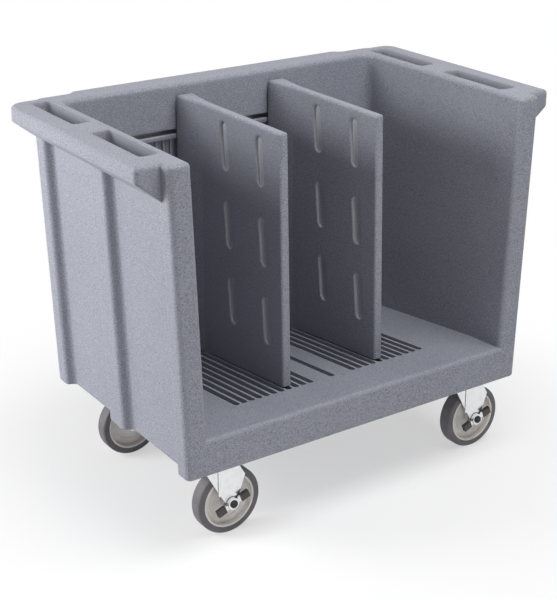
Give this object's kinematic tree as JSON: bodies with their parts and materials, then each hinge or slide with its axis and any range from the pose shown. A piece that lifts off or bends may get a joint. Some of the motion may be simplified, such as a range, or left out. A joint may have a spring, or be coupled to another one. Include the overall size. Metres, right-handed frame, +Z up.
{
  "type": "dish cart",
  "caption": "Open-front moulded dish cart on swivel casters with adjustable upright dividers, grooved sloping floor, ribbed back wall and handle lips with hand pockets",
  "frame": {"origin": "on the floor under the middle of the bounding box", "axes": "+X along the open front to the right, +Y to the back wall, +Z up"},
  "size_m": [1.036, 0.61, 0.85],
  "materials": {
    "granite_polyethylene": "speckled granite grey moulded polyethylene, satin",
    "tyre_rubber": "dark grey tread",
    "hub_plastic": "warm grey nylon",
    "bush_plastic": "acetal",
    "zinc_steel": "bright zinc plate",
    "bolt_steel": "plain steel",
    "dark_steel": "black oxide",
    "grip_rubber": "ribbed black rubber",
    "black_plastic": "moulded nylon"
  },
  "bodies": {
    "cart": {"cart_body": "granite_polyethylene", "caster_bolts": "bolt_steel", "front_left_caster_plate": "zinc_steel", "front_left_king_pin": "bolt_steel", "front_right_caster_plate": "zinc_steel", "front_right_king_pin": "bolt_steel", "rear_left_caster_plate": "zinc_steel", "rear_left_king_pin": "bolt_steel", "rear_right_caster_plate": "zinc_steel", "rear_right_king_pin": "bolt_steel"},
    "left_divider": {"divider_left": "granite_polyethylene", "divider_left_back_stud": "bolt_steel", "divider_left_back_clamp_plate": "zinc_steel", "divider_left_floor_stud": "bolt_steel", "divider_left_floor_clamp_plate": "zinc_steel"},
    "left_back_knob": {"divider_left_back_knob": "black_plastic"},
    "left_floor_knob": {"divider_left_floor_knob": "black_plastic"},
    "right_divider": {"divider_right": "granite_polyethylene", "divider_right_back_stud": "bolt_steel", "divider_right_back_clamp_plate": "zinc_steel", "divider_right_floor_stud": "bolt_steel", "divider_right_floor_clamp_plate": "zinc_steel"},
    "right_back_knob": {"divider_right_back_knob": "black_plastic"},
    "right_floor_knob": {"divider_right_floor_knob": "black_plastic"},
    "front_left_swivel": {"front_left_fork": "zinc_steel", "front_left_thrust_washer": "hub_plastic", "front_left_axle_bolt": "dark_steel", "front_left_axle_nut": "bolt_steel"},
    "front_left_wheel": {"front_left_tyre": "tyre_rubber", "front_left_hub": "hub_plastic", "front_left_bush": "bush_plastic"},
    "front_left_brake": {"front_left_brake_lever": "zinc_steel", "front_left_brake_toe_grip": "grip_rubber", "front_left_brake_heel_grip": "grip_rubber"},
    "front_right_swivel": {"front_right_fork": "zinc_steel", "front_right_thrust_washer": "hub_plastic", "front_right_axle_bolt": "dark_steel", "front_right_axle_nut": "bolt_steel"},
    "front_right_wheel": {"front_right_tyre": "tyre_rubber", "front_right_hub": "hub_plastic", "front_right_bush": "bush_plastic"},
    "front_right_brake": {"front_right_brake_lever": "zinc_steel", "front_right_brake_toe_grip": "grip_rubber", "front_right_brake_heel_grip": "grip_rubber"},
    "rear_left_swivel": {"rear_left_fork": "zinc_steel", "rear_left_thrust_washer": "hub_plastic", "rear_left_axle_bolt": "dark_steel", "rear_left_axle_nut": "bolt_steel"},
    "rear_left_wheel": {"rear_left_tyre": "tyre_rubber", "rear_left_hub": "hub_plastic", "rear_left_bush": "bush_plastic"},
    "rear_right_swivel": {"rear_right_fork": "zinc_steel", "rear_right_thrust_washer": "hub_plastic", "rear_right_axle_bolt": "dark_steel", "rear_right_axle_nut": "bolt_steel"},
    "rear_right_wheel": {"rear_right_tyre": "tyre_rubber", "rear_right_hub": "hub_plastic", "rear_right_bush": "bush_plastic"}
  },
  "joints": [
    {"name": "left_divider_slide", "type": "slide", "parent": "cart", "child": "left_divider", "axis": [1, 0, 0], "range_m": [-0.13335, 0.05715]},
    {"name": "left_back_knob_turn", "type": "hinge", "parent": "left_divider", "child": "left_back_knob", "pos_m": [-0.1143, 0.2995, 0.74], "axis": [0, 1, 0], "range_deg": [0, 360]},
    {"name": "left_floor_knob_turn", "type": "hinge", "parent": "left_divider", "child": "left_floor_knob", "pos_m": [-0.1143, 0.157, 0.18], "axis": [0, 0, 1], "range_deg": [0, 360]},
    {"name": "right_divider_slide", "type": "slide", "parent": "cart", "child": "right_divider", "axis": [1, 0, 0], "range_m": [-0.0762, 0.1143]},
    {"name": "right_back_knob_turn", "type": "hinge", "parent": "right_divider", "child": "right_back_knob", "pos_m": [0.13335, 0.2995, 0.74], "axis": [0, 1, 0], "range_deg": [0, 360]},
    {"name": "right_floor_knob_turn", "type": "hinge", "parent": "right_divider", "child": "right_floor_knob", "pos_m": [0.13335, 0.157, 0.18], "axis": [0, 0, 1], "range_deg": [0, 360]},
    {"name": "front_left_swivel_turn", "type": "hinge", "parent": "cart", "child": "front_left_swivel", "pos_m": [-0.338, -0.226, 0.18], "axis": [0, 0, 1], "continuous": true},
    {"name": "front_left_wheel_spin", "type": "hinge", "parent": "front_left_swivel", "child": "front_left_wheel", "pos_m": [-0.302, -0.226, 0.075], "axis": [0, 1, 0], "continuous": true},
    {"name": "front_left_brake_rock", "type": "hinge", "parent": "front_left_swivel", "child": "front_left_brake", "pos_m": [-0.302, -0.226, 0.075], "axis": [0, 1, 0], "range_deg": [0, 42]},
    {"name": "front_right_swivel_turn", "type": "hinge", "parent": "cart", "child": "front_right_swivel", "pos_m": [0.338, -0.226, 0.18], "axis": [0, 0, 1], "continuous": true},
    {"name": "front_right_wheel_spin", "type": "hinge", "parent": "front_right_swivel", "child": "front_right_wheel", "pos_m": [0.374, -0.226, 0.075], "axis": [0, 1, 0], "continuous": true},
    {"name": "front_right_brake_rock", "type": "hinge", "parent": "front_right_swivel", "child": "front_right_brake", "pos_m": [0.374, -0.226, 0.075], "axis": [0, 1, 0], "range_deg": [0, 42]},
    {"name": "rear_left_swivel_turn", "type": "hinge", "parent": "cart", "child": "rear_left_swivel", "pos_m": [-0.338, 0.192, 0.18], "axis": [0, 0, 1], "continuous": true},
    {"name": "rear_left_wheel_spin", "type": "hinge", "parent": "rear_left_swivel", "child": "rear_left_wheel", "pos_m": [-0.302, 0.192, 0.075], "axis": [0, 1, 0], "continuous": true},
    {"name": "rear_right_swivel_turn", "type": "hinge", "parent": "cart", "child": "rear_right_swivel", "pos_m": [0.338, 0.192, 0.18], "axis": [0, 0, 1], "continuous": true},
    {"name": "rear_right_wheel_spin", "type": "hinge", "parent": "rear_right_swivel", "child": "rear_right_wheel", "pos_m": [0.374, 0.192, 0.075], "axis": [0, 1, 0], "continuous": true}
  ]
}
